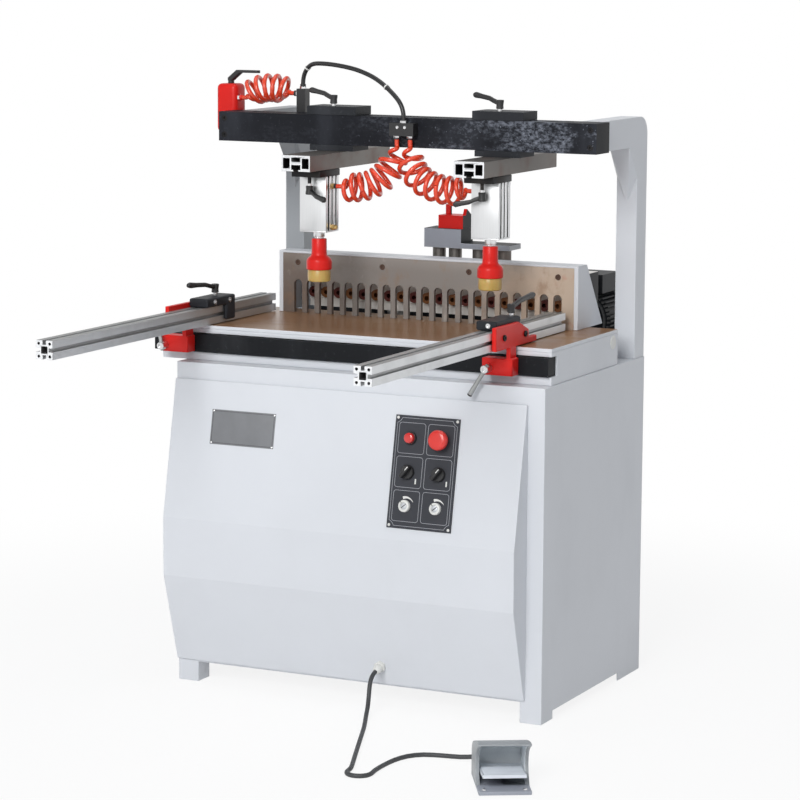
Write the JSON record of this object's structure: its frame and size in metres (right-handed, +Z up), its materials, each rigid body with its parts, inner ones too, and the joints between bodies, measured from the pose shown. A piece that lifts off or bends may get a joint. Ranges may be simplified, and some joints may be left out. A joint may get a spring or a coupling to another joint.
{
  "type": "line boring machine",
  "caption": "Single-row multi-spindle wood borer: steel cabinet, table with two guide rails, slotted fence, drill head and two pneumatic hold-down clamps on a portal beam.",
  "frame": {"origin": "on the floor under the middle of the whole object, foot switch and rails included, cord and hoses left out", "axes": "+X to the operator's right, +Y from the operator to the fence and drill head, +Z up"},
  "size_m": [1.144, 1.367, 1.3667],
  "materials": {
    "body_paint": "light cool grey enamel",
    "table_film": "worn brown faced board",
    "fence_steel": "ground steel, oiled",
    "black_paint": "satin black",
    "black_oxide": "black oxide",
    "steel": "ground",
    "gearbox_paint": "light enamel",
    "chuck_paint": "lacquered, red and yellow by turns",
    "motor_paint": "black cast fins",
    "red_paint": "red enamel on cast alloy",
    "panel_grey": "printed plate",
    "red_lens": "clear red",
    "red_plastic": "gloss",
    "black_plastic": "moulded",
    "white_plastic": "moulded",
    "black_hose": "smooth tube",
    "red_hose": "coiled polyurethane tube",
    "cord_jacket": "smooth jacket",
    "grey_casting": "hammered grey paint",
    "pedal_plate": "moulded",
    "aluminium": "anodised extrusion",
    "cylinder_finish": "anodised",
    "amber_pad": "polyurethane",
    "handle_steel": "plated"
  },
  "bodies": {
    "frame": {"cabinet": "body_paint", "front_cover": "body_paint", "table_box": "body_paint", "table_top": "table_film", "guide_bar": "black_paint", "fence_plate": "fence_steel", "fence_gussets": "body_paint", "column_left": "body_paint", "column_right": "body_paint", "beam": "black_paint", "frame_bolts": "black_oxide", "head_guides": "steel", "control_panel": "panel_grey", "power_lamp": "red_lens", "manifold": "black_plastic", "hose_tee": "black_plastic", "supply_hose": "black_hose", "valve_body": "red_paint", "rear_coil_hose": "red_hose", "coil_hose_left": "red_hose", "coil_hose_right": "red_hose", "cord_gland": "white_plastic", "pedal_cord": "cord_jacket", "foot_switch": "grey_casting"},
    "stop_button_body": {"stop_button": "red_plastic"},
    "selector_left_body": {"selector_left": "black_plastic"},
    "selector_right_body": {"selector_right": "black_plastic"},
    "dial_left_body": {"dial_left": "white_plastic"},
    "dial_right_body": {"dial_right": "white_plastic"},
    "valve_lever_body": {"valve_lever": "black_plastic"},
    "pedal_body": {"foot_pedal": "pedal_plate"},
    "head": {"gearbox": "gearbox_paint", "spindles": "chuck_paint", "motor": "motor_paint", "lift_plate": "steel", "lock_box": "red_paint"},
    "carriage_left_body": {"carriage_left": "black_paint", "clamp_arm_left": "aluminium"},
    "beam_lever_left_body": {"beam_lever_left": "black_plastic"},
    "cylinder_left_body": {"cylinder_left": "cylinder_finish"},
    "arm_lever_left_body": {"arm_lever_left": "black_plastic"},
    "press_left_body": {"press_rod_left": "red_paint", "press_pad_left": "amber_pad"},
    "rail_left_body": {"rail_left": "aluminium", "rail_bracket_left": "red_paint"},
    "bracket_handle_left_body": {"bracket_handle_left": "handle_steel"},
    "stop_left_body": {"stop_block_left": "black_paint"},
    "stop_lever_left_body": {"stop_lever_left": "black_plastic"},
    "carriage_right_body": {"carriage_right": "black_paint", "clamp_arm_right": "aluminium"},
    "beam_lever_right_body": {"beam_lever_right": "black_plastic"},
    "cylinder_right_body": {"cylinder_right": "cylinder_finish"},
    "arm_lever_right_body": {"arm_lever_right": "black_plastic"},
    "press_right_body": {"press_rod_right": "red_paint", "press_pad_right": "amber_pad"},
    "rail_right_body": {"rail_right": "aluminium", "rail_bracket_right": "red_paint"},
    "bracket_handle_right_body": {"bracket_handle_right": "handle_steel"},
    "stop_right_body": {"stop_block_right": "black_paint"},
    "stop_lever_right_body": {"stop_lever_right": "black_plastic"}
  },
  "joints": [
    {"name": "stop_press", "type": "slide", "parent": "frame", "child": "stop_button_body", "axis": [0, 0.9812, -0.193], "range_m": [0, 0.005], "stiffness_N_per_m": 2000, "springref_m": -0.002},
    {"name": "selector_left_turn", "type": "hinge", "parent": "frame", "child": "selector_left_body", "pos_m": [0.08648, -0.0973, 0.52377], "axis": [0, -0.9812, 0.193], "range_deg": [0, 76]},
    {"name": "selector_right_turn", "type": "hinge", "parent": "frame", "child": "selector_right_body", "pos_m": [0.15848, -0.0973, 0.52377], "axis": [0, -0.9812, 0.193], "range_deg": [0, 76]},
    {"name": "dial_left_turn", "type": "hinge", "parent": "frame", "child": "dial_left_body", "pos_m": [0.08648, -0.11117, 0.45323], "axis": [0, -0.9812, 0.193], "range_deg": [-150, 150]},
    {"name": "dial_right_turn", "type": "hinge", "parent": "frame", "child": "dial_right_body", "pos_m": [0.15848, -0.11117, 0.45323], "axis": [0, -0.9812, 0.193], "range_deg": [-150, 150]},
    {"name": "valve_lever_turn", "type": "hinge", "parent": "frame", "child": "valve_lever_body", "pos_m": [-0.54152, 0.2685, 1.318], "axis": [0, 0, 1], "range_deg": [0, 90]},
    {"name": "pedal_press", "type": "hinge", "parent": "frame", "child": "pedal_body", "pos_m": [0.46198, -0.45387, 0.024], "axis": [0.866, 0.5, 0], "range_deg": [0, 7], "stiffness_Nm_per_rad": 8, "springref_deg": -3.44},
    {"name": "head_feed", "type": "slide", "parent": "frame", "child": "head", "axis": [0, -1, 0], "range_m": [0, 0.06]},
    {"name": "clamp_slide_left", "type": "slide", "parent": "frame", "child": "carriage_left_body", "axis": [1, 0, 0], "range_m": [-0.13, 0.09], "deforming": ["coil_hose_left"]},
    {"name": "beam_lever_turn_left", "type": "hinge", "parent": "carriage_left_body", "child": "beam_lever_left_body", "pos_m": [-0.22952, 0.1715, 1.273], "axis": [0, 0, 1], "range_deg": [-5, 80]},
    {"name": "cylinder_slide_left", "type": "slide", "parent": "carriage_left_body", "child": "cylinder_left_body", "axis": [0, 1, 0], "range_m": [-0.04, 0.05]},
    {"name": "arm_lever_turn_left", "type": "hinge", "parent": "cylinder_left_body", "child": "arm_lever_left_body", "pos_m": [-0.22952, 0.0575, 1.1], "axis": [0, 0, 1], "range_deg": [-80, 30]},
    {"name": "press_left", "type": "slide", "parent": "cylinder_left_body", "child": "press_left_body", "axis": [0, 0, -1], "range_m": [0, 0.06]},
    {"name": "clamp_slide_right", "type": "slide", "parent": "frame", "child": "carriage_right_body", "axis": [1, 0, 0], "range_m": [-0.11, 0.03], "deforming": ["coil_hose_right"]},
    {"name": "beam_lever_turn_right", "type": "hinge", "parent": "carriage_right_body", "child": "beam_lever_right_body", "pos_m": [0.17048, 0.1715, 1.273], "axis": [0, 0, 1], "range_deg": [-20, 80]},
    {"name": "cylinder_slide_right", "type": "slide", "parent": "carriage_right_body", "child": "cylinder_right_body", "axis": [0, 1, 0], "range_m": [-0.05, 0.05]},
    {"name": "arm_lever_turn_right", "type": "hinge", "parent": "cylinder_right_body", "child": "arm_lever_right_body", "pos_m": [0.17048, 0.0835, 1.1], "axis": [0, 0, 1], "range_deg": [-12, 80]},
    {"name": "press_right", "type": "slide", "parent": "cylinder_right_body", "child": "press_right_body", "axis": [0, 0, -1], "range_m": [0, 0.06]},
    {"name": "rail_slide_left", "type": "slide", "parent": "frame", "child": "rail_left_body", "axis": [1, 0, 0], "range_m": [-0.025, 0.02]},
    {"name": "bracket_handle_turn_left", "type": "hinge", "parent": "rail_left_body", "child": "bracket_handle_left_body", "pos_m": [-0.52452, -0.0615, 0.752], "axis": [0, 1, 0], "range_deg": [-30, 30]},
    {"name": "stop_slide_left", "type": "slide", "parent": "rail_left_body", "child": "stop_left_body", "axis": [0, 1, 0], "range_m": [-0.2, 0.1]},
    {"name": "stop_lever_turn_left", "type": "hinge", "parent": "stop_left_body", "child": "stop_lever_left_body", "pos_m": [-0.45302, 0.0345, 0.856], "axis": [0, 0, 1], "range_deg": [-45, 15]},
    {"name": "rail_slide_right", "type": "slide", "parent": "frame", "child": "rail_right_body", "axis": [1, 0, 0], "range_m": [-0.005, 0.06]},
    {"name": "bracket_handle_turn_right", "type": "hinge", "parent": "rail_right_body", "child": "bracket_handle_right_body", "pos_m": [0.25448, -0.0615, 0.752], "axis": [0, 1, 0], "range_deg": [-30, 30]},
    {"name": "stop_slide_right", "type": "slide", "parent": "rail_right_body", "child": "stop_right_body", "axis": [0, 1, 0], "range_m": [-0.2, 0.1]},
    {"name": "stop_lever_turn_right", "type": "hinge", "parent": "stop_right_body", "child": "stop_lever_right_body", "pos_m": [0.27398, 0.0085, 0.856], "axis": [0, 0, 1], "range_deg": [-60, 10]}
  ]
}
